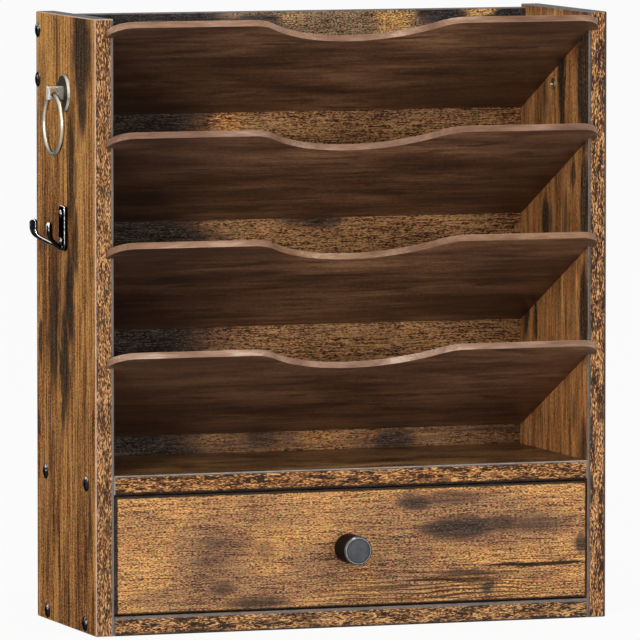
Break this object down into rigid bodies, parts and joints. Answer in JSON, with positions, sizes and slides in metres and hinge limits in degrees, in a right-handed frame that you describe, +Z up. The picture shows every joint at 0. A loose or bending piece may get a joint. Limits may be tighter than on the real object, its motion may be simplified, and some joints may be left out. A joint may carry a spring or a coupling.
{
  "type": "wall mail organizer",
  "caption": "Wooden wall organizer with sloping, dipped letter boards over a shelf and a small drawer with a round knob; side ring pulls swing and a double hook holds keys",
  "frame": {"origin": "Centre of the carcass underside: midway between the side panels and midway between their front and back edges, on the bottom board's lower face.", "axes": "+X to the right as seen from the front, +Y to the back and the wall, +Z up."},
  "size_m": [0.3645, 0.145, 0.38],
  "materials": {
    "board": "rustic brown laminate, satin",
    "letter_board": "dark walnut laminate, semi-gloss",
    "rail": "dark brown laminate, satin",
    "hardboard": "printed hardboard, satin",
    "drawer_wood": "brown laminate, satin",
    "black_zinc": "black zinc, satin",
    "steel": "zinc plated",
    "aged_metal": "aged nickel over brass",
    "black_enamel": "gloss black",
    "charcoal": "matte charcoal"
  },
  "bodies": {
    "carcass": {"left_side_panel": "board", "right_side_panel": "board", "top_rail": "rail", "back_sheet": "hardboard", "drawer_shelf": "board", "bottom_board": "board", "letter_board_1": "letter_board", "letter_board_2": "letter_board", "letter_board_3": "letter_board", "letter_board_4": "letter_board", "left_panel_screws": "black_zinc", "right_panel_screws": "black_zinc", "back_tacks": "steel", "left_hanger_plate": "steel", "right_hanger_plate": "steel", "hanger_screws": "steel", "left_ring_boss": "aged_metal", "left_ring_screw": "steel", "right_ring_boss": "aged_metal", "right_ring_screw": "steel", "double_hook": "black_enamel", "hook_screws": "black_zinc"},
    "drawer": {"drawer_front": "board", "drawer_left_side": "drawer_wood", "drawer_right_side": "drawer_wood", "drawer_back": "drawer_wood", "drawer_bottom": "hardboard", "drawer_dowels": "drawer_wood", "drawer_tacks": "steel", "drawer_knob": "charcoal", "knob_screw": "steel"},
    "left_ring": {"left_ring": "aged_metal"},
    "right_ring": {"right_ring": "aged_metal"}
  },
  "joints": [
    {"name": "drawer_slide", "type": "slide", "parent": "carcass", "child": "drawer", "axis": [0, -1, 0], "range_m": [0, 0.085]},
    {"name": "left_ring_swing", "type": "hinge", "parent": "carcass", "child": "left_ring", "pos_m": [-0.1752, 0, 0.33186], "axis": [0, 1, 0], "range_deg": [-8, 165]},
    {"name": "right_ring_swing", "type": "hinge", "parent": "carcass", "child": "right_ring", "pos_m": [0.1752, 0, 0.33186], "axis": [0, -1, 0], "range_deg": [-8, 165]}
  ]
}
